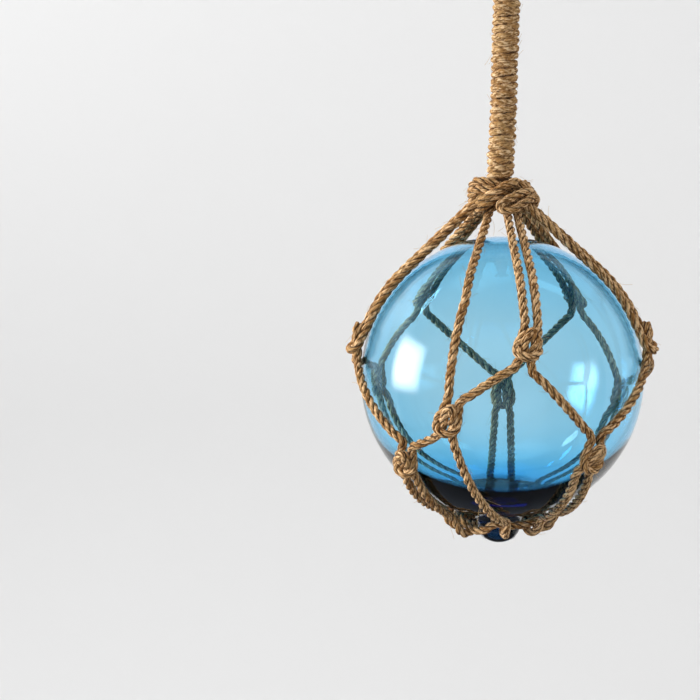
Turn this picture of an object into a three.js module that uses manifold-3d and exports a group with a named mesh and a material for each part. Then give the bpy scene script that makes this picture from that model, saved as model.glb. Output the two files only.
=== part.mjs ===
// A hollow glass float in a knotted rope net, hung from a served rope with an eye.
// Millimetres, +Z up, the front faces -Y. The origin is the inside top of the eye, where a hook bears.
import * as THREE from 'three';
import { mergeVertices } from 'three/addons/utils/BufferGeometryUtils.js';
import Module from 'manifold-3d';

const wasm = await Module();
wasm.setup();

// Glass
const ballRadius = 100;
const sealRadius = 15.5;   // the button that closes the blowing hole
const sealDrop = 21;       // how far the button reaches below the round of the ball
const sealFillet = 6;      // where the button flows into the ball
const sealNeckDrop = 1;    // how far the neck's narrowest place is below its middle

// Rope of the net
const ropeDiameter = 7;
const glassClearance = 0.8;
const pieceGap = 0.3;      // between pieces that touch

// Foot ring, which hangs a little off the glass
const ringRadius = 27.5;
const ringSlack = 3.9;

// Crown knot
const crownRise = 15;      // clear height between the ball and the knot
const crownHeight = 27.5;
const crownRadius = 20;    // to the centre of its outer turns
const legOut = 0.62;       // where a cord comes out of it, as shares of its radius and height
const legUp = 0.42;
const crownSpread = 0.54;  // a pair's half distance there, in ropes

// Hanging rope
const hangerDiameter = 19.5;
const hangerLength = 135;
const coreDiameter = 9;    // the bare rope, as it shows in the eye
const eyeLength = 44;      // from the throat to the inside top
const eyeWidth = 24;       // clear width

// Fineness of the faceted solids
const ropeSides = 6;
const ringSegments = 20;
const heartSegments = 8;
const stringStep = 22;
const ballSegments = 30;
const ballRings = 16;

const ropeRadius = ropeDiameter / 2;
const ropeOrbit = ballRadius + glassClearance + ropeRadius;
const throatHeight = -eyeLength;
const hangerTop = throatHeight - pieceGap;
const hangerFoot = hangerTop - hangerLength;
const crownFoot = hangerFoot - pieceGap - crownHeight;
const ballHeight = crownFoot - crownRise - ballRadius;
const ballCentre = new THREE.Vector3(0, 0, ballHeight);
const ringDrop = Math.sqrt(ropeOrbit ** 2 - ringRadius ** 2) + ringSlack;

const glassMaterial = new THREE.MeshStandardMaterial({ color: 0x3f9fd0, roughness: 0.03, metalness: 0 });
const netMaterial = new THREE.MeshStandardMaterial({ color: 0x9c7242, roughness: 0.85, metalness: 0 });
const servingMaterial = new THREE.MeshStandardMaterial({ color: 0xb08a58, roughness: 0.85, metalness: 0 });

function solidOf(geometry) {
  const bare = geometry.clone();
  bare.deleteAttribute('normal');
  bare.deleteAttribute('uv');
  const merged = mergeVertices(bare, 1e-4);
  return new wasm.Manifold(new wasm.Mesh({
    numProp: 3,
    vertProperties: new Float32Array(merged.attributes.position.array),
    triVerts: new Uint32Array(merged.index.array),
  }));
}

function geometryOf(solid) {
  const mesh = solid.getMesh();
  const geometry = new THREE.BufferGeometry();
  geometry.setAttribute('position', new THREE.BufferAttribute(mesh.vertProperties, 3));
  geometry.setIndex(new THREE.BufferAttribute(mesh.triVerts, 1));
  geometry.computeVertexNormals();
  return geometry;
}

function joined(solids) {
  return solids.reduce((whole, solid) => whole.add(solid));
}

// The largest body of a cut solid, without the crumbs that a channel cuts loose
function wholeOf(solid) {
  return solid.decompose().reduce((best, body) => (body.volume() > best.volume() ? body : best));
}

// A rope through its points, with a section at each point
function ropeAlong(points, radius = ropeRadius, sides = ropeSides) {
  const route = new THREE.CatmullRomCurve3(points, false, 'centripetal');
  route.getPointAt = route.getPoint;
  route.getTangentAt = route.getTangent;
  const section = new THREE.Shape();
  for (let k = 0; k < sides; k += 1) {
    const turn = (2 * Math.PI * k) / sides;
    section[k === 0 ? 'moveTo' : 'lineTo'](radius * Math.cos(turn), radius * Math.sin(turn));
  }
  const steps = points.length - 1;
  return new THREE.ExtrudeGeometry(section, { steps, extrudePath: route, bevelEnabled: false });
}

// The direction from the ball's centre: turn goes from the front to the right, rise goes up
function directionAt(turn, rise) {
  const a = THREE.MathUtils.degToRad(turn);
  const b = THREE.MathUtils.degToRad(rise);
  return new THREE.Vector3(Math.cos(b) * Math.sin(a), -Math.cos(b) * Math.cos(a), Math.sin(b));
}

// A point round the hanging axis, height above the ball's centre
function roundAxis(turn, radius, height) {
  const a = THREE.MathUtils.degToRad(turn);
  return new THREE.Vector3(radius * Math.sin(a), -radius * Math.cos(a), ballHeight + height);
}

// Knots of the net, by their place on the ball. Each port joins a neighbour: above and below, left and right.
// A knot may tilt to the right. Its cords leave the crown on its own side of it, or where the knot says, and
// one of them clings to the glass on the way.
const knots = {
  upperLeft: {
    turn: -77, rise: 16, legUp: 0.6,
    above: ['crown', 'crown'], below: ['lowerLeft', 'lowerFrontLeft'],
  },
  upperFront: {
    turn: 10, rise: 21, tilt: 10, legTurn: 27, legUp: 0.1,
    above: ['crown', 'crown'], below: ['lowerFront', 'lowerFrontRight'],
  },
  upperRight: { turn: 76, rise: 18, above: ['crown', 'crown'], below: ['lowerFrontRight', 'lowerRight'] },
  upperBackRight: { turn: 143, rise: 30, above: ['crown', 'crown'], below: ['lowerRight', 'lowerBack'] },
  upperBackLeft: { turn: -138, rise: 30, above: ['crown', 'crown'], below: ['lowerBack', 'lowerLeft'] },
  lowerFront: {
    turn: -18.5, rise: -6, tilt: -8, legTurn: -50, legUp: 0.12, via: [-17, 38],
    above: ['crown', 'upperFront'], below: ['lowerFrontLeft', 'ring'],
  },
  lowerFrontLeft: {
    turn: -41, rise: -25.5, tilt: 18,
    above: ['upperLeft', 'lowerFront'], below: ['ring', 'ring'],
  },
  lowerFrontRight: { turn: 38, rise: -21, above: ['upperFront', 'upperRight'], below: ['ring', 'ring'] },
  lowerRight: { turn: 119, rise: -13.5, above: ['upperRight', 'upperBackRight'], below: ['ring', 'ring'] },
  lowerBack: { turn: 179, rise: -17, above: ['upperBackRight', 'upperBackLeft'], below: ['ring', 'ring'] },
  lowerLeft: { turn: -115, rise: -7.5, above: ['upperBackLeft', 'upperLeft'], below: ['ring', 'ring'] },
};

// Where each cord that ends at the ring is hitched, as turns round it
const hitchTurns = {
  lowerFront: [null, 8],
  lowerFrontLeft: [-78, -52],
  lowerFrontRight: [46, 70],
  lowerRight: [98, 122],
  lowerBack: [166, 192],
  lowerLeft: [-134, -108],
};

const meshOrder = [
  'lowerFront', 'upperFront', 'lowerFrontRight', 'upperRight', 'lowerRight', 'upperBackRight',
  'lowerBack', 'upperBackLeft', 'lowerLeft', 'upperLeft', 'lowerFrontLeft',
];

const upwards = new THREE.Vector3(0, 0, 1);

// Local axes of a knot: out of the glass, up along its cords, and to the right as seen from outside
function placeKnot(knot) {
  knot.out = directionAt(knot.turn, knot.rise);
  const lean = new THREE.Vector3();
  for (const [row, sign] of [['above', 1], ['below', -1]]) {
    const pull = new THREE.Vector3();
    for (const name of knot[row]) {
      const target = name === 'crown' ? upwards.clone().multiplyScalar(2)
        : name === 'ring' ? upwards.clone().negate()
          : directionAt(knots[name].turn, knots[name].rise);
      pull.add(target.sub(knot.out).projectOnPlane(knot.out).normalize());
    }
    lean.add(pull.normalize().multiplyScalar(sign));
  }
  knot.up = lean.normalize().applyAxisAngle(knot.out, THREE.MathUtils.degToRad(-(knot.tilt ?? 0)));
  knot.right = new THREE.Vector3().crossVectors(knot.up, knot.out);
}

// A point of a knot, given in rope diameters across it, along it and above a rope that lies on the glass
function inKnot(knot, across, along, lift) {
  const flat = knot.out.clone().multiplyScalar(ropeOrbit)
    .addScaledVector(knot.right, across * ropeDiameter)
    .addScaledVector(knot.up, along * ropeDiameter);
  return flat.setLength(ropeOrbit + lift * ropeDiameter).add(ballCentre);
}

// The upper cord's loop, from port to port, which crosses the front of the knot low down
const upperLoop = [
  [-0.62, 1.9, 0], [-0.78, 0.6, 0.15], [-1.0, -0.5, 0.4], [-0.55, -1.15, 0.8],
  [0.5, -1.05, 0.8], [0.95, -0.45, 0.4], [0.78, 0.6, 0.15], [0.62, 1.9, 0],
];
// The lower cord's loop, which rises through the upper one
const lowerLoop = [
  [-0.85, -2.2, 0], [-0.4, -0.8, 0.25], [-0.3, 0.5, 0.7], [0.1, 1.3, 0.8],
  [0.5, 0.5, 0.7], [0.5, -0.8, 0.25], [0.85, -2.2, 0],
];

// A taut cord between two points: straight while it is off the ball, then along the glass
function tautOverBall(from, to) {
  const a = from.clone().sub(ballCentre);
  const b = to.clone().sub(ballCentre);
  const axis = new THREE.Vector3().crossVectors(a, b).normalize();
  const total = a.angleTo(b);
  const leave = Math.acos(Math.min(1, ropeOrbit / a.length()));
  const land = Math.acos(Math.min(1, ropeOrbit / b.length()));
  const start = a.clone().setLength(ropeOrbit).applyAxisAngle(axis, leave);
  const arc = Math.max(0, total - leave - land);
  const points = [from];
  if (arc > 0) {
    const straight = Math.ceil(start.distanceTo(a) / (2 * stringStep));
    for (let k = 1; k < straight; k += 1) {
      points.push(a.clone().lerp(start, k / straight).add(ballCentre));
    }
    const steps = Math.max(1, Math.round((arc * ropeOrbit) / stringStep));
    for (let k = leave > 0.01 ? 0 : 1; k <= (land > 0.01 ? steps : steps - 1); k += 1) {
      points.push(start.clone().applyAxisAngle(axis, (arc * k) / steps).add(ballCentre));
    }
  } else {
    points.push(from.clone().lerp(to, 0.5));
  }
  points.push(to);
  return points;
}

const sideSign = [-1, 1];

function loopOf(knot, loop) {
  return loop.map(([across, along, lift]) => inKnot(knot, across, along, lift));
}

function portOf(knot, loop, side) {
  const [across, along, lift] = loop[side * (loop.length - 1)];
  return inKnot(knot, across, along, lift);
}

// Where a cord comes out of the crown knot, and where it ends inside it
function crownLeg(knot, side) {
  const paired = knot.above[0] === knot.above[1];
  const turn = knot.legTurn ?? knot.turn;
  const beside = roundAxis(turn + 90, paired ? sideSign[side] * crownSpread * ropeDiameter : 0, 0);
  beside.z = 0;
  const leave = ballRadius + crownRise + (knot.legUp ?? legUp) * crownHeight;
  const inner = roundAxis(turn, legOut * crownRadius * 0.55, leave + 0.18 * crownHeight);
  const outer = roundAxis(turn, legOut * crownRadius, leave);
  return [inner.add(beside), outer.add(beside)];
}

function legToCrown(knot, side) {
  const [inner, outer] = crownLeg(knot, side);
  const port = portOf(knot, upperLoop, side);
  if (!knot.via) {
    return [inner, ...tautOverBall(outer, port)];
  }
  const via = directionAt(...knot.via).setLength(ropeOrbit).add(ballCentre);
  return [inner, ...tautOverBall(outer, via), ...tautOverBall(via, port).slice(1)];
}

// How the foot ring sags and rises between its hitches: turn, and outwards and upwards in ropes
const ringSag = [
  [-84, 0.35, 0.5], [-62, 0.3, 0.45], [-38, 0, -0.3], [-20, 0.15, -0.1], [-5, 0.5, 0.7], [12, 0.4, 0.6],
  [30, 0.4, 0.5], [52, 0.7, 0.75], [75, 0.7, 0.7], [100, 0.4, 0.4], [125, 0.15, 0.15], [150, 0, -0.2],
  [180, 0, 0], [205, 0, -0.1], [230, 0, -0.2], [255, 0.2, 0.2], [276, 0.35, 0.5],
];

// A point at a turn of the ring, moved out of and up from its centre line
function besideRing(turn, outward, upward) {
  const start = ringSag[0][0];
  const t = start + THREE.MathUtils.euclideanModulo(turn - start, 360);
  const next = ringSag.findIndex(([angle]) => angle > t);
  const [[a, outA, upA], [b, outB, upB]] = [ringSag[next - 1], ringSag[next]];
  const share = (t - a) / (b - a);
  const sagOut = THREE.MathUtils.lerp(outA, outB, share) * ropeDiameter;
  const sagUp = THREE.MathUtils.lerp(upA, upB, share) * ropeDiameter;
  return roundAxis(turn, ringRadius + sagOut + outward, sagUp + upward - ringDrop);
}

// A cord's last turn round the foot ring: down its outside and under it, in ropes from the ring's centre
const hitchTurn = [[1.5, 0.65], [1.12, -0.1], [0.65, -0.8], [-0.2, -1.05]];

function legToRing(name, side) {
  const turn = hitchTurns[name][side];
  const hitch = hitchTurn.map(([outward, upward]) => (
    besideRing(turn, outward * ropeDiameter, upward * ropeDiameter)));
  return [...tautOverBall(portOf(knots[name], lowerLoop, side), hitch[0]), ...hitch.slice(1)];
}

// A cord from the crown down to a knot and back
function upperCord(knot) {
  const up = [0, 1].map((side) => legToCrown(knot, side));
  return [...up[0].slice(0, -1), ...loopOf(knot, upperLoop), ...up[1].reverse().slice(1)];
}

// A cord from the foot ring up to a knot and back
function lowerCord(name) {
  const down = [0, 1].map((side) => legToRing(name, side));
  return [...down[0].reverse().slice(0, -1), ...loopOf(knots[name], lowerLoop), ...down[1].slice(1)];
}

// The long cord: from the crown through each mesh in turn, round the ball, to the knot it began with
function longCord() {
  const points = legToCrown(knots[meshOrder[0]], 0).slice(0, -1);
  meshOrder.forEach((name, k) => {
    const loop = k % 2 === 0 ? upperLoop : lowerLoop;
    const next = knots[meshOrder[(k + 1) % meshOrder.length]];
    const nextLoop = k % 2 === 0 ? lowerLoop : upperLoop;
    const link = tautOverBall(portOf(knots[name], loop, 1), portOf(next, nextLoop, 0));
    points.push(...loopOf(knots[name], loop), ...link.slice(1, -1));
  });
  const home = knots[meshOrder[0]];
  points.push(portOf(home, lowerLoop, 0));
  return points;
}

// Its end, which starts in that knot and runs down to the ring
function lastCord() {
  const name = meshOrder[0];
  return [...loopOf(knots[name], lowerLoop), ...legToRing(name, 1).slice(1)];
}

function netCords() {
  const cords = [longCord(), lastCord()];
  for (const [name, knot] of Object.entries(knots)) {
    if (knot.above.every((end) => end === 'crown')) {
      cords.push(upperCord(knot));
    }
    if (knot.below.every((end) => end === 'ring')) {
      cords.push(lowerCord(name));
    }
  }
  return cords;
}

// Turns of the crown knot: turn round the axis, share of its radius, share of its height
const crownTurns = [
  [[53, 0.5, 0.73], [28, 0.65, 0.72], [4, 0.74, 0.65], [-15, 0.87, 0.53],
    [-33, 0.96, 0.4], [-54, 0.99, 0.24], [-77, 0.92, 0.08], [-102, 0.72, 0.03], [-131, 0.46, 0.09]],
  [[21, 0.43, 0.49], [-9, 0.62, 0.43], [-25, 0.83, 0.31], [-40, 0.98, 0.17], [-59, 1.01, 0.01],
    [-80, 0.86, 0.01], [-107, 0.52, 0.09]],
  [[129, 0.64, 0.38], [100, 0.86, 0.47], [71, 0.93, 0.51], [40, 0.89, 0.46], [13, 0.88, 0.33],
    [-6, 0.94, 0.19], [-5, 0.97, 0.05], [12, 1, 0.04], [32, 1.05, 0.16], [52, 1.06, 0.29],
    [75, 1.09, 0.33], [97, 1.1, 0.22], [119, 0.92, 0.09]],
  [[55, 0.49, 0.69], [64, 0.75, 0.62], [79, 0.93, 0.49], [93, 1.05, 0.31],
    [106, 1.07, 0.09], [120, 0.81, 0], [131, 0.46, 0.05]],
  [[-7, 0.4, 0.59], [-34, 0.63, 0.69], [-56, 0.8, 0.77], [-75, 0.99, 0.73], [-91, 1.13, 0.57],
    [-103, 1.08, 0.38], [-118, 0.74, 0.31]],
  [[-24, 0.6, 0.53], [-44, 0.86, 0.55], [-67, 1.01, 0.53], [-86, 1.12, 0.38], [-104, 1.11, 0.2],
    [-124, 0.9, 0.09], [-143, 0.5, 0.09]],
  [[88, 0.55, 0.62], [108, 0.95, 0.71], [138, 0.97, 0.67], [171, 0.95, 0.64], [205, 0.96, 0.66],
    [238, 0.98, 0.69], [263, 0.81, 0.75]],
  [[101, 1.07, 0.24], [126, 1.12, 0.35], [158, 1.06, 0.43], [191, 1.05, 0.4], [224, 1.04, 0.4],
    [253, 1.1, 0.44], [273, 1, 0.38]],
  [[90, 0.9, 0.05], [118, 1.07, 0.05], [149, 1.01, 0.14], [183, 0.97, 0.15], [218, 0.98, 0.11],
    [248, 1, 0.05], [270, 0.8, 0.05]],
];
const crownHeart = [[0, 0.06], [0.5, 0.08], [0.68, 0.3], [0.68, 0.66], [0.5, 1], [0, 1]];

function revolved(profile, segments) {
  const points = profile.map(([radius, height]) => new THREE.Vector2(radius, height));
  const geometry = new THREE.LatheGeometry(points, segments);
  geometry.rotateX(Math.PI / 2);
  return geometry;
}

function crownKnotGeometry() {
  const base = ballRadius + crownRise;
  const top = crownHeight - ropeRadius;
  const heart = revolved(crownHeart.map(([r, h]) => [r * crownRadius, h * crownHeight]), heartSegments);
  heart.translate(0, 0, ballHeight + base);
  const turns = crownTurns.map((turn) => ropeAlong(turn.map(([angle, radius, height]) => {
    const clear = Math.min(ropeRadius + height * crownHeight, top);
    return roundAxis(angle, radius * crownRadius, base + clear);
  })));
  const knot = joined([heart, ...turns].map(solidOf));
  const channelRadius = (ropeRadius + pieceGap) / Math.cos(Math.PI / ropeSides);
  const channels = [];
  for (const knotOnBall of Object.values(knots)) {
    for (const side of [0, 1]) {
      if (knotOnBall.above[side] === 'crown') {
        const leg = legToCrown(knotOnBall, side).slice(0, 3);
        const inwards = leg[0].clone().sub(leg[1]).setLength(2 * pieceGap);
        leg[0].add(inwards);
        channels.push(solidOf(ropeAlong(leg, channelRadius)));
      }
    }
  }
  return geometryOf(wholeOf(knot.subtract(joined(channels))));
}

function ringGeometry(radius) {
  const geometry = new THREE.TorusGeometry(ringRadius, radius, ropeSides, ringSegments);
  const place = geometry.attributes.position;
  for (let k = 0; k < place.count; k += 1) {
    const turn = THREE.MathUtils.radToDeg(Math.atan2(place.getX(k), -place.getY(k)));
    const outward = Math.hypot(place.getX(k), place.getY(k)) - ringRadius;
    const { x, y, z } = besideRing(turn, outward, place.getZ(k));
    place.setXYZ(k, x, y, z);
  }
  return geometry;
}

function netGeometry() {
  const ropes = joined(netCords().map((cord) => solidOf(ropeAlong(cord))));
  return geometryOf(ropes.subtract(solidOf(ringGeometry(ropeRadius + pieceGap))));
}

function glassProfile() {
  const profile = [];
  const neck = sealRadius + sealFillet;
  const last = Math.asin(neck / ballRadius);
  for (let k = 0; k <= ballRings; k += 1) {
    const fromTop = (Math.PI - last) * (k / ballRings);
    profile.push([ballRadius * Math.sin(fromTop), ballRadius * Math.cos(fromTop)]);
  }
  profile[0][0] = 0;
  const round = sealDrop * 0.6;
  const shoulder = -ballRadius - sealDrop + round;
  profile.push([sealRadius + sealFillet * 0.3, (profile[ballRings][1] + shoulder) / 2 - sealNeckDrop]);
  const steps = 5;
  for (let k = 0; k <= steps; k += 1) {
    const turn = (Math.PI / 2) * (k / steps);
    profile.push([k === steps ? 0 : sealRadius * Math.cos(turn), shoulder - round * Math.sin(turn)]);
  }
  return profile.reverse();
}

function glassGeometry() {
  const geometry = revolved(glassProfile(), ballSegments);
  geometry.translate(0, 0, ballHeight);
  return geometry;
}

function hangerGeometry() {
  const geometry = new THREE.CylinderGeometry(hangerDiameter / 2, hangerDiameter / 2, hangerLength, 12, 3);
  geometry.rotateX(Math.PI / 2);
  geometry.translate(0, 0, hangerFoot + hangerLength / 2);
  return geometry;
}

// The eye: two legs side by side at the throat, opening to a round top
function eyeGeometry() {
  const half = (eyeWidth + coreDiameter) / 2;
  const leg = coreDiameter / 2 + pieceGap;
  const top = coreDiameter / 2;
  const springing = top - half;
  const points = [
    new THREE.Vector3(-leg, 0, throatHeight),
    new THREE.Vector3(-leg, 0, throatHeight + 0.04 * eyeLength),
    new THREE.Vector3(-leg, 0, throatHeight + 0.08 * eyeLength),
    new THREE.Vector3(-leg * 1.6, 0, throatHeight + 0.22 * eyeLength),
    new THREE.Vector3(-half * 0.88, 0, throatHeight + 0.42 * eyeLength),
  ];
  const straight = points.length;
  const steps = 8;
  for (let k = 0; k <= steps; k += 1) {
    const turn = Math.PI * (1 - k / steps);
    points.push(new THREE.Vector3(half * Math.cos(turn), 0, springing + half * Math.sin(turn)));
  }
  for (const point of points.slice(0, straight).reverse()) {
    points.push(new THREE.Vector3(-point.x, 0, point.z));
  }
  return ropeAlong(points, coreDiameter / 2, 8);
}

for (const knot of Object.values(knots)) {
  placeKnot(knot);
}

const pieces = [
  ['glass_ball', glassGeometry(), glassMaterial],
  ['net', netGeometry(), netMaterial],
  ['foot_ring', ringGeometry(ropeRadius), netMaterial],
  ['crown_knot', crownKnotGeometry(), netMaterial],
  ['served_hanger', hangerGeometry(), servingMaterial],
  ['eye_loop', eyeGeometry(), netMaterial],
];

const float = new THREE.Group();
for (const [name, geometry, material] of pieces) {
  const mesh = new THREE.Mesh(geometry, material);
  mesh.name = name;
  float.add(mesh);
}

export default float;
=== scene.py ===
import math
import random

import bmesh
import bpy
import numpy as np
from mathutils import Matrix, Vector, noise


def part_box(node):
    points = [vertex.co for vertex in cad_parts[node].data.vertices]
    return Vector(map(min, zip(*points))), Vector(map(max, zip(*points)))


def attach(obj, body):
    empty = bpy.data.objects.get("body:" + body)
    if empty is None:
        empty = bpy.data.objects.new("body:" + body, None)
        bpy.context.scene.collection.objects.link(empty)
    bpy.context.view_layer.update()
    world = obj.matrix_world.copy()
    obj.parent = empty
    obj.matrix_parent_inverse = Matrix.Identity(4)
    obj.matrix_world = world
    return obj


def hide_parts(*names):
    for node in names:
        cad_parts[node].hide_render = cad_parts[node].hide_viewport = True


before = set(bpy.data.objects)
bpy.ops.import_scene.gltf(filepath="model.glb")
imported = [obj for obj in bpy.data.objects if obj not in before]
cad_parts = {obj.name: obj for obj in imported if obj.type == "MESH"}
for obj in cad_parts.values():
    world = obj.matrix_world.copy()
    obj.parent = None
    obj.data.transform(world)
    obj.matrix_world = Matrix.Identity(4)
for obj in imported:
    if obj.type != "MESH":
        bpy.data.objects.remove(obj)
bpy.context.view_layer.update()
scene = bpy.context.scene
print("frame loaded")

# where the frame puts the ball and the hanging rope
ballRadius = 0.100
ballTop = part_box("glass_ball")[1][2]
ballCentre = Vector((0, 0, ballTop - ballRadius))
hangerLow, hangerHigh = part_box("served_hanger")

# the camera stands in front of the ball and a little above it
cameraView = dict(
    rise=10.0,  # degrees above the ball's centre
    distance=1.045,
    lens=75.0,
    sensor=36.0,
    photoSize=700,
    ballAt=(501.0, 377.0),  # where the photo shows the ball's centre
)


def makeCamera(v):
    data = bpy.data.cameras.new("camera")
    data.lens = v["lens"]
    data.sensor_width = v["sensor"]
    data.clip_start = 0.01
    camera = bpy.data.objects.new("camera", data)
    scene.collection.objects.link(camera)
    rise = math.radians(v["rise"])
    camera.location = ballCentre + v["distance"] * Vector((0, -math.cos(rise), math.sin(rise)))
    focal = v["lens"] / v["sensor"] * v["photoSize"]
    right = (v["ballAt"][0] - v["photoSize"] / 2) / focal
    down = (v["ballAt"][1] - v["photoSize"] / 2) / focal
    reach = math.sqrt(1 + right * right + down * down)
    pitch = math.asin(-math.sin(rise) * reach / math.hypot(1, down)) + math.atan(down)
    yaw = -math.atan2(right, math.cos(pitch) + down * math.sin(pitch))
    camera.rotation_euler = (math.pi / 2 + pitch, 0, -yaw)
    scene.camera = camera


makeCamera(cameraView)
print("camera made")


# Paths and ropes

def unit(v):
    return v / np.linalg.norm(v)


# a smooth line through chosen points, with points a step apart
def smoothPath(points, step, closed=False):
    p = [np.array(q, dtype=float) for q in points]
    if closed:
        ends = [p[-1], *p, p[0], p[1]]
    else:
        ends = [2 * p[0] - p[1], *p, 2 * p[-1] - p[-2]]
    dense = [ends[1]]
    between = 12  # places worked out from each chosen point to the next
    for a, b, c, d in zip(ends, ends[1:], ends[2:], ends[3:]):
        ta = 0.0
        tb = ta + math.sqrt(np.linalg.norm(b - a))
        tc = tb + math.sqrt(np.linalg.norm(c - b))
        td = tc + math.sqrt(np.linalg.norm(d - c))
        for k in range(1, between + 1):
            t = tb + (tc - tb) * k / between
            ab = a + (b - a) * (t - ta) / (tb - ta)
            bc = b + (c - b) * (t - tb) / (tc - tb)
            cd = c + (d - c) * (t - tc) / (td - tc)
            abc = ab + (bc - ab) * (t - ta) / (tc - ta)
            bcd = bc + (cd - bc) * (t - tb) / (td - tb)
            dense.append(abc + (bcd - abc) * (t - tb) / (tc - tb))
    dense = np.array(dense)
    gone = np.concatenate([[0], np.cumsum(np.linalg.norm(np.diff(dense, axis=0), axis=1))])
    count = max(3, int(round(gone[-1] / step)))
    at = np.linspace(0, gone[-1], count + 1)
    if closed:
        at = at[:-1]
    return np.stack([np.interp(at, gone, dense[:, k]) for k in range(3)], axis=1), gone[-1]


# sideways directions carried along a path without twist
def carriedSides(path, closed=False):
    if closed:
        ahead = np.roll(path, -1, axis=0) - np.roll(path, 1, axis=0)
    else:
        ahead = np.gradient(path, axis=0)
    ahead = ahead / np.linalg.norm(ahead, axis=1)[:, None]
    # the first one starts from any direction that isn't along the path
    start = np.array((0.0, 0.0, 1.0)) if abs(ahead[0][2]) < 0.8 else np.array((1.0, 0.0, 0.0))
    side = unit(start - ahead[0] * start.dot(ahead[0]))
    sides = []
    for t in ahead:
        side = unit(side - t * side.dot(t))
        sides.append(side)
    sides = np.array(sides)
    if closed:
        last = unit(sides[-1] - ahead[0] * sides[-1].dot(ahead[0]))
        slip = math.atan2(np.cross(last, sides[0]).dot(ahead[0]), last.dot(sides[0]))
        turn = np.linspace(0, slip, len(path))[:, None]
        sides = sides * np.cos(turn) + np.cross(ahead, sides) * np.sin(turn)
    return sides, np.cross(ahead, sides)


def addPiece(name, mesh):
    piece = bpy.data.objects.new(name, mesh)
    scene.collection.objects.link(piece)
    return piece


# the mesh of a curve object, with the curve removed
def meshOfCurve(name, data):
    source = addPiece(name + "_line", data)
    ready = bpy.context.evaluated_depsgraph_get()
    mesh = bpy.data.meshes.new_from_object(source.evaluated_get(ready))
    mesh.name = name
    bpy.data.objects.remove(source)
    bpy.data.curves.remove(data)
    return mesh


# laid rope: its strands wind round each path, and each strand's own fibres wind the other way.
# The attributes fibre, outer and tone give the fibre noise its place, a point's distance from the
# rope's middle in rope radii, by which the fibre material paints shade between the strands, and a tone
# for each strand
def layRope(name, paths, r, closed=False):
    rng = random.Random(r["seed"])
    data = bpy.data.curves.new(name, "CURVE")
    data.dimensions = "3D"
    data.bevel_depth = 1.0
    data.bevel_resolution = r["fineness"]
    around = 4 + 2 * r["fineness"]  # sides of a strand
    strandRadius = r["radius"] * r["strandShare"]
    swellsPerTurn = 0.9
    grain = 0.5  # size of the ring round a strand on which the fibre noise is read
    fibre, outer, tone = [], [], []
    for points in paths:
        path, length = smoothPath(points, r["pitch"] / r["perTurn"], closed)
        n = len(path)
        sideA, sideB = carriedSides(path, closed)
        s = np.arange(n) * length / (n if closed else n - 1)
        turns = max(1, round(length / r["pitch"])) if closed else length / r["pitch"]
        begin = rng.random()
        for k in range(r["strands"]):
            phase = 2 * math.pi * (s / length * turns + k / r["strands"] + begin)
            drift = rng.random() * 100  # each strand has its own place in the noise
            swell = np.array([
                1 + r["uneven"] * noise.noise(Vector((q / r["pitch"] * swellsPerTurn, drift, k))) for q in s
            ])
            reach = r["radius"] * r["offsetShare"]
            spots = path + reach * (np.cos(phase)[:, None] * sideA + np.sin(phase)[:, None] * sideB)
            spline = data.splines.new("POLY")
            spline.points.add(n - 1)
            flat = np.ones((n, 4))
            flat[:, :3] = spots
            spline.points.foreach_set("co", flat.ravel())
            spline.points.foreach_set("radius", strandRadius * swell)
            spline.use_cyclic_u = closed
            fibre.append((s, rng.random() * 50))
            outer.append(path)
            tone.append(np.full(n * around, rng.random()))
    mesh = meshOfCurve(name, data)
    count = len(mesh.vertices)
    places = np.zeros(count * 3)
    mesh.vertices.foreach_get("co", places)
    places = places.reshape(-1, 3)
    fibreOut, outerOut = np.zeros((count, 3)), np.zeros(count)
    first = 0
    for (s, shift), path in zip(fibre, outer):
        last = first + len(path) * around
        turn = np.tile(np.arange(around) / around * 2 * math.pi, len(path))
        gone = np.repeat(s, around)
        turn = turn - gone * r["fibreTwist"] / r["radius"]
        fibreOut[first:last, 0] = np.cos(turn) * grain + shift
        fibreOut[first:last, 1] = np.sin(turn) * grain
        fibreOut[first:last, 2] = gone / r["radius"]
        away = np.linalg.norm(places[first:last] - np.repeat(path, around, axis=0), axis=1)
        outerOut[first:last] = away / r["radius"]
        first = last
    mesh.attributes.new("fibre", "FLOAT_VECTOR", "POINT").data.foreach_set("vector", fibreOut.ravel())
    mesh.attributes.new("outer", "FLOAT", "POINT").data.foreach_set("value", outerOut)
    mesh.attributes.new("tone", "FLOAT", "POINT").data.foreach_set("value", np.concatenate(tone))
    shape = bmesh.new()
    shape.from_mesh(mesh)
    if not closed:
        bmesh.ops.holes_fill(shape, edges=[e for e in shape.edges if e.is_boundary], sides=0)
    bmesh.ops.recalc_face_normals(shape, faces=shape.faces)
    for face in shape.faces:
        face.smooth = len(face.verts) == 4
    shape.to_mesh(mesh)
    shape.free()
    return addPiece(name, mesh)


# round rods of one thickness along each path
def layRods(name, paths, radius, fineness=0, capped=False):
    data = bpy.data.curves.new(name, "CURVE")
    data.dimensions = "3D"
    data.bevel_depth = radius
    data.bevel_resolution = fineness
    data.use_fill_caps = capped
    for path in paths:
        spline = data.splines.new("POLY")
        spline.points.add(len(path) - 1)
        for point, place in zip(spline.points, path):
            point.co = (*place, 1)
    mesh = meshOfCurve(name, data)
    for face in mesh.polygons:
        face.use_smooth = len(face.vertices) == 4
    return addPiece(name, mesh)


# fibres that stand off a rope here and there, their measures in shares of a fibre's length
hairShape = dict(
    thickness=0.00009,  # in metres
    lift=(0.15, 0.75),
    curl=0.5,
    sideways=0.7,
    shortest=0.5,
    longOnes=0.12,  # how many of them are longer
    longer=1.7,
    points=6,
    rootOut=0.9,  # where it starts, in rope radii
)


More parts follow.
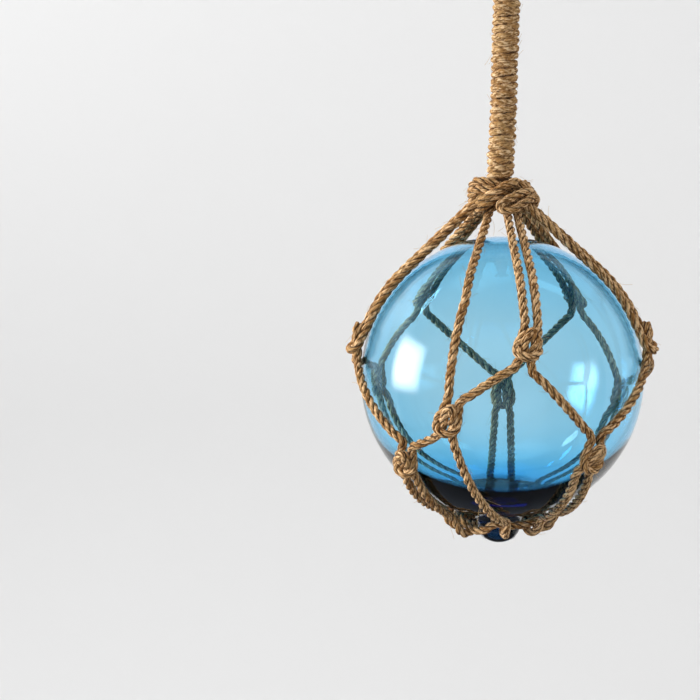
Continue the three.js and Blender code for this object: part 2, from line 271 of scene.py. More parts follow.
def looseFibres(name, paths, f):
    h = hairShape
    rng = random.Random(f["seed"])
    hairs = []
    for points in paths:
        path, length = smoothPath(points, 0.003)  # finer than the rope's pitch
        sideA, sideB = carriedSides(path)
        ahead = np.gradient(path, axis=0)
        for _ in range(round(length * f["perMetre"])):
            k = rng.randrange(1, len(path) - 1)
            angle = rng.uniform(0, 2 * math.pi)
            out = sideA[k] * math.cos(angle) + sideB[k] * math.sin(angle)
            along = unit(ahead[k]) * rng.choice((-1, 1))
            across = np.cross(along, out) * rng.uniform(-h["sideways"], h["sideways"])
            reach = f["length"] * rng.uniform(h["shortest"], 1.0)
            reach *= h["longer"] if rng.random() < h["longOnes"] else 1.0
            lift = rng.uniform(*h["lift"])
            curl = rng.uniform(-h["curl"], h["curl"])
            hair = []
            for q in np.linspace(0, 1, h["points"]):
                way = along * q + out * lift * q * (1 + curl * q) + across * q * q
                hair.append(path[k] + out * f["radius"] * h["rootOut"] + way * reach)
            hairs.append(hair)
    return layRods(name, hairs, h["thickness"])


# Materials

# a socket's value, so that shader maths can be written as it is
class Value:
    def __init__(self, nodes, socket):
        self.nodes = nodes
        self.socket = socket

    def sum(self, operation, first, second):
        return self.nodes.add("ShaderNodeMath", dict(operation=operation), [first, second])

    def __add__(self, other):
        return self.sum("ADD", self, other)

    __radd__ = __add__

    def __sub__(self, other):
        return self.sum("SUBTRACT", self, other)

    def __rsub__(self, other):
        return self.sum("SUBTRACT", other, self)

    def __mul__(self, other):
        return self.sum("MULTIPLY", self, other)

    __rmul__ = __mul__


# the node tree of a material or a light
class Nodes:
    def __init__(self, owner):
        owner.use_nodes = True
        self.owner = owner
        self.tree = owner.node_tree
        self.tree.nodes.clear()

    # settings come first, then the sockets, by place or by name
    def add(self, kind, settings, inputs, output=0):
        node = self.tree.nodes.new(kind)
        for key, value in settings.items():
            setattr(node, key, value)
        pairs = inputs.items() if isinstance(inputs, dict) else enumerate(inputs)
        for key, value in pairs:
            if isinstance(value, Value):
                self.tree.links.new(value.socket, node.inputs[key])
            else:
                node.inputs[key].default_value = value
        return Value(self, node.outputs[output])

    def attribute(self, name, output="Fac"):
        return self.add("ShaderNodeAttribute", dict(attribute_name=name), [], output)

    def between(self, mask, first, second):
        return self.add("ShaderNodeMix", dict(data_type="RGBA"), {0: mask, 6: first, 7: second}, 2)

    def step(self, value, low, high):
        return self.add("ShaderNodeMapRange", dict(interpolation_type="SMOOTHSTEP"), [value, low, high])

    def finish(self, surface, volume=None, kind="ShaderNodeOutputMaterial"):
        out = self.tree.nodes.new(kind)
        self.tree.links.new(surface.socket, out.inputs["Surface"])
        if volume:
            self.tree.links.new(volume.socket, out.inputs["Volume"])
        return self.owner


# natural fibre: pale tips, partly painted highlight, an orange-brown body, dark streaks, partly painted
# shade, and painted shade in the grooves between the strands
fibreWearAndShade = dict(
    streaks=3.8,  # noise scale round and along a strand
    patches=95.0,  # noise scales over the whole float, for each metre
    shades=22.0,
    shadeShare=0.5,
    toneShare=0.12,  # how much one strand differs from the next
    warm=(0.38, 0.68),  # where in the noise each colour starts and is full
    pale=(0.48, 0.62),
    dark=(0.49, 0.39),
    palest=0.95,
    darkest=0.9,
)


def fibreMaterial(name, c):
    w = fibreWearAndShade
    m = Nodes(bpy.data.materials.new(name))
    fibre = m.attribute("fibre", "Vector")
    stretch = (1.0, 1.0, c["fibreLength"])
    stretched = m.add("ShaderNodeVectorMath", dict(operation="MULTIPLY"), [fibre, stretch])
    streak = m.add("ShaderNodeTexNoise", {}, {
        "Vector": stretched, "Scale": w["streaks"], "Detail": 3.0, "Roughness": 0.6})
    spot = m.add("ShaderNodeTexCoord", {}, [], "Object")
    patch = m.add("ShaderNodeTexNoise", {}, {
        "Vector": spot, "Scale": w["patches"], "Detail": 3.0, "Roughness": 0.6})
    broad = m.add("ShaderNodeTexNoise", {}, {"Vector": spot, "Scale": w["shades"], "Detail": 2.0})
    tone = m.attribute("tone")
    # painted shade: towards the rope's middle, between the strands, the fibre is darkened to the groove
    # colour
    grooveShade = m.step(m.attribute("outer"), c["grooveLow"], c["grooveHigh"])
    warm = m.step(patch + (broad - 0.5) * w["shadeShare"], *w["warm"])
    body = m.between(warm, (*c["warm"], 1), (*c["body"], 1))
    # pale streaks: partly the fibres' own pale tone, partly painted highlight on the raised streaks of the
    # bump
    pale = m.step(streak + (tone - 0.5) * w["toneShare"], *w["pale"])
    lit = m.between(pale * w["palest"], body, (*c["pale"], 1))
    # dark streaks: partly dark flecks in the fibre, partly painted shade in the low streaks of the bump
    fleckAndShade = m.step(streak, *w["dark"])
    lit = m.between(fleckAndShade * w["darkest"], lit, (*c["dark"], 1))
    colour = m.between(grooveShade, (*c["grooveShade"], 1), lit)
    bump = m.add("ShaderNodeBump", {}, {"Strength": 0.55, "Distance": c["bump"], "Height": streak})
    surface = m.add("ShaderNodeBsdfPrincipled", {}, {
        "Base Color": colour,
        "Roughness": 0.82,
        "Specular IOR Level": 0.2,
        "Sheen Weight": 0.08,
        "Sheen Roughness": 0.5,
        "Normal": bump,
    })
    return m.finish(surface)


# in both fibres the groove colour is painted shade between the strands
netFibre = fibreMaterial("net_fibre", dict(
    pale=(0.86, 0.57, 0.30), body=(0.44, 0.25, 0.09), warm=(0.34, 0.155, 0.04), dark=(0.10, 0.045, 0.013),
    grooveShade=(0.024, 0.010, 0.0035), grooveLow=0.56, grooveHigh=0.9, fibreLength=0.3, bump=0.0008,
))
servingFibre = fibreMaterial("serving_fibre", dict(
    pale=(0.80, 0.58, 0.34), body=(0.50, 0.30, 0.12), warm=(0.40, 0.205, 0.065), dark=(0.13, 0.062, 0.02),
    grooveShade=(0.03, 0.013, 0.0045), grooveLow=0.5, grooveHigh=0.84, fibreLength=0.3, bump=0.0008,
))


def plainMaterial(name, colour):
    m = Nodes(bpy.data.materials.new(name))
    return m.finish(m.add("ShaderNodeBsdfPrincipled", {}, {"Base Color": (*colour, 1), "Roughness": 0.9}))


# the core's dark colour is painted shade in the gaps between the wound turns
coreShadeFibre = plainMaterial("core_painted_shade", (0.11, 0.06, 0.026))
looseFibre = plainMaterial("loose_fibre", (0.55, 0.36, 0.17))


def dress(piece, material, slot, *nodes):
    piece.data.materials.clear()
    piece.data.materials.append(material)
    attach(piece, "root")
    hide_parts(*nodes)


# The hanging rope: a cord wound close round its core
hanger = dict(
    radius=0.00975,
    cordRadius=0.0028,
    pitch=0.0050,
    perTurn=16,
    strandPitch=0.0125,
    endRoom=0.95,  # above the foot and under the top, in cord radii
    ripple=0.0006,  # how far a turn strays in and out
    rippleRates=(0.8, 0.75),  # how soon that changes, round the rope and from turn to turn
    slide=0.0012,  # and the same up and down
    slideRates=(0.9, 0.55),
    coreRadius=0.0066,
    intoKnot=0.006,  # how far the winding goes down into the crown knot
    # share of its height, and how far its middle is to the right
    lean=((0, -0.0029), (0.35, -0.0012), (0.7, -0.0008), (1, 0.0)),
    seed=3,
)


def hangerAxis(h, z):
    share = (z - hangerLow[2]) / (hangerHigh[2] - hangerLow[2])
    places, shifts = zip(*h["lean"])
    return np.array((float(np.interp(share, places, shifts)), 0.0, z))


def windingNoise(t, rates, shift=0):
    angle = 2 * math.pi * t
    across = math.cos(angle) * rates[0] + shift
    return noise.noise(Vector((across, math.sin(angle) * rates[0], t * rates[1])))


def windServing(h):
    foot, top = hangerLow[2] - h["intoKnot"], hangerHigh[2]
    cord = h["cordRadius"]
    reach = h["radius"] - cord
    rise = top - foot - 2 * h["endRoom"] * cord
    count = int(rise / h["pitch"] * h["perTurn"]) + 1
    points = []
    for k in range(count):
        t = k / h["perTurn"]
        angle = 2 * math.pi * t
        out = reach + h["ripple"] * windingNoise(t, h["rippleRates"])
        z = foot + h["endRoom"] * cord + rise * k / (count - 1)
        z += h["slide"] * windingNoise(t, h["slideRates"], shift=9)
        points.append(hangerAxis(h, z) + np.array((out * math.cos(angle), out * math.sin(angle), 0.0)))
    return layRope("served_hanger_cord", [points], dict(
        radius=cord, pitch=h["strandPitch"], strands=2, perTurn=12, fineness=2, strandShare=0.78,
        offsetShare=0.22, uneven=0.2, fibreTwist=-0.3, seed=h["seed"],
    ))


serving = windServing(hanger)
dress(serving, servingFibre, "serving_cord", "served_hanger")
hangerFoot = hangerLow[2] - hanger["intoKnot"]
hangerLength = hangerHigh[2] - hangerFoot
hangerPath = [hangerAxis(hanger, hangerFoot + hangerLength * k / 20) for k in range(21)]
corePiece = layRods("served_hanger_core", [hangerPath], hanger["coreRadius"], fineness=4, capped=True)
dress(corePiece, coreShadeFibre, "serving_cord", "served_hanger")
hangerFibres = looseFibres("served_hanger_fibres", [hangerPath], dict(
    radius=hanger["radius"], perMetre=420, length=0.007, seed=31))
dress(hangerFibres, looseFibre, "serving_cord", "served_hanger")
print("hanging rope wound")


# The net. Places on the ball are a turn from the front to the right and a rise, in degrees
net = dict(
    ropeDiameter=0.007,
    glassClearance=0.0008,
    ringRadius=0.0275,
    ringSlack=0.0039,
    crownRise=0.015,
    crownHeight=0.0275,
    crownRadius=0.020,
    legOut=0.62,  # where a cord leaves the crown knot, in shares of its radius and height
    legUp=0.42,
    tuckOut=0.55,  # where it ends inside, in shares of how far out it leaves
    tuckUp=0.18,  # and how much higher, in shares of the knot's height
    crownSpread=0.54,  # from the middle of a pair of cords to each, in ropes
)
rope = net["ropeDiameter"]
ropeOrbit = ballRadius + net["glassClearance"] + rope / 2
ringDrop = math.sqrt(ropeOrbit ** 2 - net["ringRadius"] ** 2) + net["ringSlack"]

knots = {
    "upperLeft": dict(
        turn=-77, rise=16, legUp=0.6,
        above=("crown", "crown"), below=("lowerLeft", "lowerFrontLeft")),
    "upperFront": dict(
        turn=10, rise=21, tilt=10, legTurn=27, legUp=0.1,
        above=("crown", "crown"), below=("lowerFront", "lowerFrontRight")),
    "upperRight": dict(
        turn=76, rise=18, above=("crown", "crown"), below=("lowerFrontRight", "lowerRight")),
    "upperBackRight": dict(
        turn=143, rise=30, above=("crown", "crown"), below=("lowerRight", "lowerBack")),
    "upperBackLeft": dict(
        turn=-138, rise=30, above=("crown", "crown"), below=("lowerBack", "lowerLeft")),
    "lowerFront": dict(
        turn=-18.5, rise=-6, tilt=-8, legTurn=-50, legUp=0.12, via=(-17, 38),
        above=("crown", "upperFront"), below=("lowerFrontLeft", "ring")),
    "lowerFrontLeft": dict(
        turn=-41, rise=-25.5, tilt=18, above=("upperLeft", "lowerFront"), below=("ring", "ring")),
    "lowerFrontRight": dict(
        turn=38, rise=-21, above=("upperFront", "upperRight"), below=("ring", "ring")),
    "lowerRight": dict(
        turn=119, rise=-13.5, above=("upperRight", "upperBackRight"), below=("ring", "ring")),
    "lowerBack": dict(
        turn=179, rise=-17, above=("upperBackRight", "upperBackLeft"), below=("ring", "ring")),
    "lowerLeft": dict(
        turn=-115, rise=-7.5, above=("upperBackLeft", "upperLeft"), below=("ring", "ring")),
}
hitchTurns = dict(
    lowerFront=(None, 8), lowerFrontLeft=(-78, -52), lowerFrontRight=(46, 70),
    lowerRight=(98, 122), lowerBack=(166, 192), lowerLeft=(-134, -108),
)
meshOrder = [
    "lowerFront", "upperFront", "lowerFrontRight", "upperRight", "lowerRight", "upperBackRight",
    "lowerBack", "upperBackLeft", "lowerLeft", "upperLeft", "lowerFrontLeft",
]
# across, along and above the glass, in rope diameters
upperLoop = [
    (-0.62, 1.9, 0), (-0.78, 0.6, 0.15), (-1.0, -0.5, 0.4), (-0.55, -1.15, 0.8),
    (0.5, -1.05, 0.8), (0.95, -0.45, 0.4), (0.78, 0.6, 0.15), (0.62, 1.9, 0),
]
lowerLoop = [
    (-0.85, -2.2, 0), (-0.4, -0.8, 0.25), (-0.3, 0.5, 0.7), (0.1, 1.3, 0.8),
    (0.5, 0.5, 0.7), (0.5, -0.8, 0.25), (0.85, -2.2, 0),
]
hitchTurn = [(1.5, 0.65), (1.12, -0.1), (0.65, -0.8), (-0.2, -1.0), (-0.9, -0.55), (-0.8, 0.3)]
# how the foot ring sags and rises between its hitches: turn, and outwards and upwards in ropes
ringSag = [
    (-84, 0.35, 0.5), (-62, 0.3, 0.45), (-38, 0, -0.3), (-20, 0.15, -0.1), (-5, 0.5, 0.7), (12, 0.4, 0.6),
    (30, 0.4, 0.5), (52, 0.7, 0.75), (75, 0.7, 0.7), (100, 0.4, 0.4), (125, 0.15, 0.15), (150, 0, -0.2),
    (180, 0, 0), (205, 0, -0.1), (230, 0, -0.2), (255, 0.2, 0.2), (276, 0.35, 0.5),
]


def directionAt(turn, rise):
    a, b = math.radians(turn), math.radians(rise)
    return Vector((math.cos(b) * math.sin(a), -math.cos(b) * math.cos(a), math.sin(b)))


def roundAxis(turn, radius, height):
    a = math.radians(turn)
    return ballCentre + Vector((radius * math.sin(a), -radius * math.cos(a), height))


# a point at a turn of the foot ring, moved out of and up from its centre line
def besideRing(turn, outward, upward):
    turns, outs, ups = zip(*ringSag)
    t = turns[0] + (turn - turns[0]) % 360
    radius = net["ringRadius"] + float(np.interp(t, turns, outs)) * rope + outward
    return roundAxis(turn, radius, float(np.interp(t, turns, ups)) * rope + upward - ringDrop)


# a knot lies between the pulls of its cords, towards places in ball radii
def placeKnot(knot):
    out = directionAt(knot["turn"], knot["rise"])
    lean = Vector()
    for row, sign in (("above", 1), ("below", -1)):
        pull = Vector()
        for name in knot[row]:
            if name == "crown":
                target = Vector((0, 0, 2))
            elif name == "ring":
                target = Vector((0, 0, -1))
            else:
                target = directionAt(knots[name]["turn"], knots[name]["rise"])
            way = target - out
            pull += (way - way.dot(out) * out).normalized()
        lean += sign * pull.normalized()
    knot["out"] = out
    tilt = math.radians(knot.get("tilt", 0))
    lean.normalize()
    knot["up"] = lean * math.cos(tilt) + lean.cross(out) * math.sin(tilt)
    knot["right"] = knot["up"].cross(out)


def inKnot(knot, across, along, lift):
    flat = knot["out"] * ropeOrbit + knot["right"] * across * rope + knot["up"] * along * rope
    return ballCentre + flat.normalized() * (ropeOrbit + lift * rope)


def loopOf(knot, loop):
    return [inKnot(knot, *p) for p in loop]


def portOf(knot, loop, side):
    return inKnot(knot, *loop[-side])


# a taut cord: straight while it is off the ball, then along the glass
def tautOverBall(start, end, step=0.009):
    a, b = start - ballCentre, end - ballCentre
    axis = a.cross(b).normalized()
    leave = math.acos(min(1, ropeOrbit / a.length))
    land = math.acos(min(1, ropeOrbit / b.length))
    arc = a.angle(b) - leave - land
    if arc <= 0:
        return [start, (start + end) / 2, end]

    def turned(v, angle):
        return v * math.cos(angle) + axis.cross(v) * math.sin(angle)

    touch = turned(a.normalized() * ropeOrbit, leave)
    points = [start]
    straight = math.ceil((touch - a).length / (2 * step))
    points += [ballCentre + a.lerp(touch, k / straight) for k in range(1, straight)]
    steps = max(1, round(arc * ropeOrbit / step))
    onGlass = 0.01  # an end whose angle is smaller lies on the glass already
    first = 0 if leave > onGlass else 1
    last = steps if land > onGlass else steps - 1
    points += [ballCentre + turned(touch, arc * k / steps) for k in range(first, last + 1)]
    return points + [end]


def legToCrown(knot, side):
    turn = knot.get("legTurn", knot["turn"])
    paired = knot["above"][0] == knot["above"][1]
    shift = (side * 2 - 1) * net["crownSpread"] * rope if paired else 0
    beside = roundAxis(turn + 90, shift, 0) - ballCentre
    radius = net["legOut"] * net["crownRadius"]
    height = ballRadius + net["crownRise"] + knot.get("legUp", net["legUp"]) * net["crownHeight"]
    inner = roundAxis(turn, radius * net["tuckOut"], height + net["tuckUp"] * net["crownHeight"]) + beside
    outer = roundAxis(turn, radius, height) + beside
    port = portOf(knot, upperLoop, side)
    if "via" in knot:
        via = ballCentre + directionAt(*knot["via"]) * ropeOrbit
        return [inner] + tautOverBall(outer, via) + tautOverBall(via, port)[1:]
    return [inner] + tautOverBall(outer, port)


def legToRing(name, side):
    turn = hitchTurns[name][side]
    hitch = [besideRing(turn, o * rope, u * rope) for o, u in hitchTurn]
    return tautOverBall(portOf(knots[name], lowerLoop, side), hitch[0]) + hitch[1:]


def netCords():
    home = meshOrder[0]
    longCord = legToCrown(knots[home], 0)[:-1]
    for k, name in enumerate(meshOrder):
        loop, nextLoop = (upperLoop, lowerLoop) if k % 2 == 0 else (lowerLoop, upperLoop)
        following = knots[meshOrder[(k + 1) % len(meshOrder)]]
        link = tautOverBall(portOf(knots[name], loop, 1), portOf(following, nextLoop, 0))
        longCord += loopOf(knots[name], loop) + link[1:-1]
    longCord.append(portOf(knots[home], lowerLoop, 0))
    cords = [longCord, loopOf(knots[home], lowerLoop) + legToRing(home, 1)[1:]]
    for name, knot in knots.items():
        if knot["above"] == ("crown", "crown"):
            left, right = legToCrown(knot, 0), legToCrown(knot, 1)
            cords.append(left[:-1] + loopOf(knot, upperLoop) + right[::-1][1:])
        if knot["below"] == ("ring", "ring"):
            left, right = legToRing(name, 0), legToRing(name, 1)
            cords.append(left[::-1][:-1] + loopOf(knot, lowerLoop) + right[1:])
    return cords


laidRope = dict(
    radius=0.0032, pitch=0.0205, strands=3, perTurn=12, fineness=2, strandShare=0.51, offsetShare=0.50,
    uneven=0.14, fibreTwist=-0.5,
)

for knot in knots.values():
    placeKnot(knot)
cords = netCords()
netPiece = layRope("net_rope", cords, dict(laidRope, seed=11))
dress(netPiece, netFibre, "net_rope", "net")
netFibres = looseFibres("net_fibres", cords, dict(radius=rope / 2, perMetre=110, length=0.007, seed=32))
dress(netFibres, looseFibre, "net_rope", "net")
print("net laid")

ringPoints = [besideRing(turn, 0, 0) for turn, out, up in ringSag[:-1]]
ringPiece = layRope("foot_ring_rope", [ringPoints], dict(laidRope, seed=12), closed=True)
dress(ringPiece, netFibre, "net_rope", "foot_ring")

# The crown knot: turn round the axis, share of its radius, share of its height
crownTurns = [
    [(127, 0.25, 0.64), (53, 0.5, 0.73), (28, 0.65, 0.72), (4, 0.74, 0.65), (-15, 0.87, 0.53),
     (-33, 0.96, 0.4), (-54, 0.99, 0.24), (-77, 0.92, 0.08), (-102, 0.72, 0.03), (-131, 0.46, 0.09)],
    [(21, 0.43, 0.49), (-9, 0.62, 0.43), (-25, 0.83, 0.31), (-40, 0.98, 0.17), (-59, 1.01, 0.01),
     (-80, 0.86, 0.01), (-107, 0.52, 0.09)],
    [(129, 0.64, 0.38), (100, 0.86, 0.47), (71, 0.93, 0.51), (40, 0.89, 0.46), (13, 0.88, 0.33),
     (-6, 0.94, 0.19), (-5, 0.97, 0.05), (12, 1, 0.04), (32, 1.05, 0.16), (52, 1.06, 0.29),
     (75, 1.09, 0.33), (97, 1.1, 0.22), (119, 0.92, 0.09)],
    [(45, 0.14, 0.65), (55, 0.49, 0.69), (64, 0.75, 0.62), (79, 0.93, 0.49), (93, 1.05, 0.31),
     (106, 1.07, 0.09), (120, 0.81, 0), (131, 0.46, 0.05)],
    [(-7, 0.4, 0.59), (-34, 0.63, 0.69), (-56, 0.8, 0.77), (-75, 0.99, 0.73), (-91, 1.13, 0.57),
     (-103, 1.08, 0.38), (-118, 0.74, 0.31)],
    [(-24, 0.6, 0.53), (-44, 0.86, 0.55), (-67, 1.01, 0.53), (-86, 1.12, 0.38), (-104, 1.11, 0.2),
     (-124, 0.9, 0.09), (-143, 0.5, 0.09)],
    [(80, 0.5, 0.5), (104, 0.8, 0.6), (138, 0.95, 0.66), (171, 0.95, 0.64), (205, 0.96, 0.66),
     (238, 0.98, 0.69), (263, 0.81, 0.75)],
    [(101, 1.07, 0.24), (126, 1.12, 0.35), (158, 1.06, 0.43), (191, 1.05, 0.4), (224, 1.04, 0.4),
     (253, 1.1, 0.44), (273, 1, 0.38)],
    [(90, 0.9, 0.05), (118, 1.07, 0.05), (149, 1.01, 0.14), (183, 0.97, 0.15), (218, 0.98, 0.11),
     (248, 1, 0.05), (270, 0.8, 0.05)],
]
# the coil packed inside it, in the same measures and to the same hundredths
crownHeart = dict(turnStep=60, steps=22, radius=0.36, low=0.04, high=0.66)


def heartTurn(h):
    rise = (h["high"] - h["low"]) / h["steps"]
    return [
        (k * h["turnStep"], h["radius"], round(h["low"] + k * rise, 2)) for k in range(h["steps"] + 1)
    ]


def crownPaths(turns):
    base = ballRadius + net["crownRise"]
    top = net["crownHeight"] - rope / 2
    paths = []
    for turn in turns:
        paths.append([
            roundAxis(a, r * net["crownRadius"], base + min(rope / 2 + h * net["crownHeight"], top))
            for a, r, h in turn
        ])
    return paths


crownPiece = layRope(
    "crown_knot_rope", crownPaths([*crownTurns, heartTurn(crownHeart)]), dict(laidRope, seed=13))
dress(crownPiece, netFibre, "net_rope", "crown_knot")
crownFibres = looseFibres("crown_fibres", crownPaths(crownTurns), dict(
    radius=rope / 2, perMetre=220, length=0.006, seed=33))
dress(crownFibres, looseFibre, "net_rope", "crown_knot")
print("foot ring and crown knot laid")

# The eye at the top of the hanging rope
eye = dict(
    ropeDiameter=0.009,
    length=0.044,
    width=0.024,  # clear of the rope
    gap=0.0003,  # from each leg to the middle
    bowSteps=8,
)


def eyePath(e):
    half = (e["width"] + e["ropeDiameter"]) / 2
    leg = e["ropeDiameter"] / 2 + e["gap"]
    springing = e["ropeDiameter"] / 2 - half
    # out from the middle, and up in shares of the eye's length
    left = [(-leg, 0.0), (-leg, 0.04), (-leg, 0.08), (-leg * 1.6, 0.22), (-half * 0.88, 0.42)]
    left = [Vector((x, 0, e["length"] * (share - 1))) for x, share in left]
    bow = []
    for k in range(e["bowSteps"] + 1):
        turn = math.pi * (1 - k / e["bowSteps"])
        bow.append(Vector((half * math.cos(turn), 0, springing + half * math.sin(turn))))
    right = [Vector((-p.x, 0, p.z)) for p in reversed(left)]
    return left + bow + right


eyePiece = layRope("eye_loop_rope", [eyePath(eye)], dict(
    laidRope, radius=eye["ropeDiameter"] / 2, pitch=0.026, seed=14))
dress(eyePiece, netFibre, "net_rope", "eye_loop")
print("eye laid")


# The glass: a blown shell, thick at the bottom, with the seal below it
glass = dict(
    wall=0.0031,
    topExtra=0.0008,  # how much thicker the wall is at the top
    floor=0.0145,  # thickness at the bottom
    gather=3.8,  # how soon the wall thickens towards it
    sealRadius=0.0155,
    sealDrop=0.021,
    sealRound=0.6,  # how much of the seal's drop is its rounded end
    sealFillet=0.006,
    sealNeck=0.3,  # where the fillet turns in, in shares of it
    sealNeckDrop=0.001,
    waves=16,  # the unevenness of blown glass, for each metre
    outerWave=0.0015,  # how deep it is, in shares of the radius
    innerWave=0.006,
    segments=128,
    rings=72,
    sealRings=10,
)


def glassProfile(g):
    neck = g["sealRadius"] + g["sealFillet"]
    last = math.pi - math.asin(neck / ballRadius)
    outer = []
    for k in range(g["rings"] + 1):
        t = last * k / g["rings"]
        outer.append((ballRadius * math.sin(t), ballRadius * math.cos(t)))
    roundness = g["sealDrop"] * g["sealRound"]
    shoulder = -ballRadius - g["sealDrop"] + roundness
    neckHeight = (outer[-1][1] + shoulder) / 2 - g["sealNeckDrop"]
    outer.append((g["sealRadius"] + g["sealFillet"] * g["sealNeck"], neckHeight))
    for k in range(g["sealRings"] + 1):
        t = math.pi / 2 * k / g["sealRings"]
        outer.append((g["sealRadius"] * math.cos(t), shoulder - roundness * math.sin(t)))
    return outer


def cavityProfile(g):
    inner = []
    for k in range(g["rings"] + 1):
        t = math.pi * k / g["rings"]
        low = max(0.0, -math.cos(t))
        high = max(0.0, math.cos(t))
        wall = g["wall"] + (g["floor"] - g["wall"]) * low ** g["gather"] + g["topExtra"] * high ** 2
        inner.append(((ballRadius - wall) * math.sin(t), (ballRadius - wall) * math.cos(t)))
    return inner


# a profile, out from the ball's axis and up from its centre, spun round by a sweep in degrees
def spinRound(profile, steps, sweep=360):
    shape = bmesh.new()
    start = [shape.verts.new((x, 0, ballCentre.z + z)) for x, z in profile]
    edges = [shape.edges.new(pair) for pair in zip(start, start[1:])]
    bmesh.ops.spin(
        shape, geom=start + edges, cent=(0, 0, 0), axis=(0, 0, 1), angle=math.radians(sweep),
        steps=steps, use_merge=sweep == 360,
    )
    bmesh.ops.remove_doubles(shape, verts=shape.verts, dist=0.00001)
    bmesh.ops.recalc_face_normals(shape, faces=shape.faces)
    return shape


def pieceOfShape(name, shape):
    mesh = bpy.data.meshes.new(name)
    shape.to_mesh(mesh)
    shape.free()
    return addPiece(name, mesh)


def blowShell(profile, g, wave, noiseAt):
    profile = [(0.0, profile[0][1]), *profile[1:-1], (0.0, profile[-1][1])]
    shape = spinRound(profile, g["segments"])
    for v in shape.verts:
        out = v.co - ballCentre
        v.co = ballCentre + out * (1 + wave * noise.noise(out * g["waves"] + noiseAt))
    for f in shape.faces:
        f.smooth = True
    return shape


def blowGlass(g):
    whole = blowShell(glassProfile(g), g, g["outerWave"], Vector((3, 1, 7)))
    cavity = blowShell(cavityProfile(g), g, g["innerWave"], Vector((8, 2, 5)))
    bmesh.ops.reverse_faces(cavity, faces=cavity.faces)  # its faces point into the hollow
    inside = bpy.data.meshes.new("cavity")
    cavity.to_mesh(inside)
    cavity.free()
    whole.from_mesh(inside)
    bpy.data.meshes.remove(inside)
    return pieceOfShape("glass_float", whole)


def glassMaterial():
    m = Nodes(bpy.data.materials.new("blue_glass"))
    surface = m.add("ShaderNodeBsdfPrincipled", {}, {
        "Base Color": (1, 1, 1, 1),
        "Roughness": 0.0,
        "IOR": 1.42,
        "Transmission Weight": 1.0,
    })
    volume = m.add("ShaderNodeVolumeAbsorption", {}, {"Color": (0.0, 0.735, 0.995, 1), "Density": 152.0})
    return m.finish(surface, volume)


# the depth of the seal's glass, which takes the light that the clear ball lets through
sealDepth = dict(
    # out from the axis, and up from the ball's centre
    profile=[(0.0, -0.1195), (0.012, -0.1175), (0.0142, -0.112), (0.0145, -0.104), (0.018, -0.0985),
             (0.030, -0.0946), (0.036, -0.0925), (0.024, -0.0915), (0.0, -0.0905)],
    segments=48,
    density=100.0,
)


def sealMaterial(s):
    m = Nodes(bpy.data.materials.new("seal_depth"))
    surface = m.add("ShaderNodeBsdfPrincipled", {}, {"Base Color": (0.01, 0.02, 0.08, 1), "Alpha": 0.0})
    volume = m.add("ShaderNodeVolumeAbsorption", {}, {"Color": (0.0, 0.0, 0.0, 1), "Density": s["density"]})
    return m.finish(surface, volume)


sealPiece = pieceOfShape("glass_seal_depth", spinRound(sealDepth["profile"], sealDepth["segments"]))
dress(sealPiece, sealMaterial(sealDepth), "blue_glass", "glass_ball")
glassPiece = blowGlass(glass)
dress(glassPiece, glassMaterial(), "blue_glass", "glass_ball")
print("glass blown")

# The studio: a pale cove and a dark card, lit by lamps and by two window-like lights. All places
# are from the ball's centre
studio = dict(
    floorDrop=1.9,
    radius=3.4,
    bend=1.2,  # radius of the curve from the floor to the wall
    bendSteps=12,
    wallTop=3.522,
    segments=96,
    paint=(0.8, 0.8, 0.8),
    roomLight=0.56,
)
card = dict(drop=0.45, radius=0.42, paint=(0.07, 0.08, 0.10))  # keeps the floor's light off the underside
lamps = {
    "window_left": dict(place=(-1.46, -0.233, 0.206), size=(0.95, 1.0), power=56),
    "window_right": dict(place=(1.413, -0.486, 0.131), size=(0.7, 0.6), power=4),
    "above": dict(place=(-0.3, 0.6, 2.2), size=(2.0, 1.4), power=22, inGlass=False),
    "wall_left": dict(
        place=(-2.2, 0.8, 2.2), aim=(-2.2, 3.0, 0.0), size=(1.2, 0.8), power=88, softness=0.15,
        inGlass=False),
    "wall_right": dict(
        place=(1.2, 0.6, 2.4), aim=(0.6, 3.4, -0.3), size=(1.2, 0.8), power=11, softness=0.15,
        inGlass=False),
    # a soft light patch on the front of the glass alone
    "sheen": dict(place=(0.0, -1.75, -0.85), size=(3.3, 2.5), power=22, onRopes=False),
}


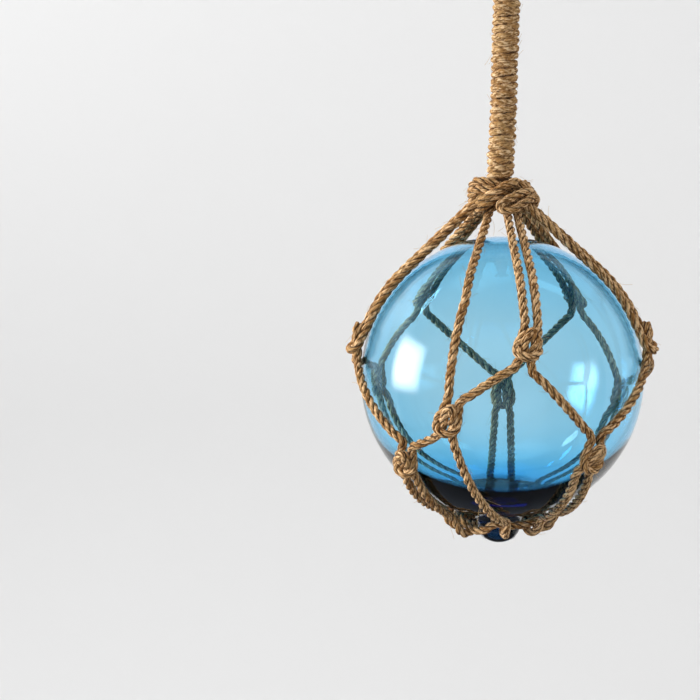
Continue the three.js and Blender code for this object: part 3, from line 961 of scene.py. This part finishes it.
def spunStage(name, profile, paint, sweep):
    shape = spinRound(profile, studio["segments"], sweep)
    for f in shape.faces:
        f.smooth = True
    piece = pieceOfShape(name, shape)
    piece.data.materials.append(plainMaterial(name, paint))
    return piece


def makeCove(s):
    profile = [(0, -s["floorDrop"])]
    for k in range(s["bendSteps"] + 1):
        t = math.pi / 2 * k / s["bendSteps"]
        out = s["radius"] - s["bend"] + s["bend"] * math.sin(t)
        profile.append((out, -s["floorDrop"] + s["bend"] * (1 - math.cos(t))))
    profile.append((s["radius"], s["wallTop"]))
    spunStage("cove", profile, s["paint"], 180)


def makeCard(c):
    piece = spunStage("flag", [(0, -c["drop"]), (c["radius"], -c["drop"])], c["paint"], 360)
    piece.visible_camera = False


# a flat light that fades towards its edges, turned to the ball unless it has another aim
def makeLight(name, lamp):
    data = bpy.data.lights.new(name, "AREA")
    data.shape = "RECTANGLE"
    data.size, data.size_y = lamp["size"]
    data.energy = lamp["power"]
    light = addPiece(name, data)
    light.location = ballCentre + Vector(lamp["place"])
    facing = Vector(lamp["place"]) - Vector(lamp.get("aim", (0, 0, 0)))
    light.rotation_euler = facing.to_track_quat("Z", "Y").to_euler()
    light.visible_glossy = lamp.get("inGlass", True)
    light.visible_diffuse = lamp.get("onRopes", True)
    softness = lamp.get("softness", 0.25)
    n = Nodes(data)
    spot = n.add("ShaderNodeNewGeometry", {}, [], "Parametric")
    across = n.add("ShaderNodeSeparateXYZ", {}, [spot], "X")
    up = n.add("ShaderNodeSeparateXYZ", {}, [spot], "Y")
    fade = n.step(across * (1 - across), 0.0, softness) * n.step(up * (1 - up), 0.0, softness)
    n.finish(n.add("ShaderNodeEmission", {}, {"Strength": fade}), kind="ShaderNodeOutputLight")


makeCove(studio)
makeCard(card)
for name, lamp in lamps.items():
    makeLight(name, lamp)
world = bpy.data.worlds.new("world")
world.use_nodes = True
background = world.node_tree.nodes["Background"]
background.inputs["Color"].default_value = (1, 1, 1, 1)
background.inputs["Strength"].default_value = studio["roomLight"]
world.cycles_visibility.glossy = False  # the room in front is dark in the glass
scene.world = world
scene.view_settings.view_transform = "Standard"
scene.cycles.max_bounces = 16
scene.cycles.transmission_bounces = 16
print("studio lit")
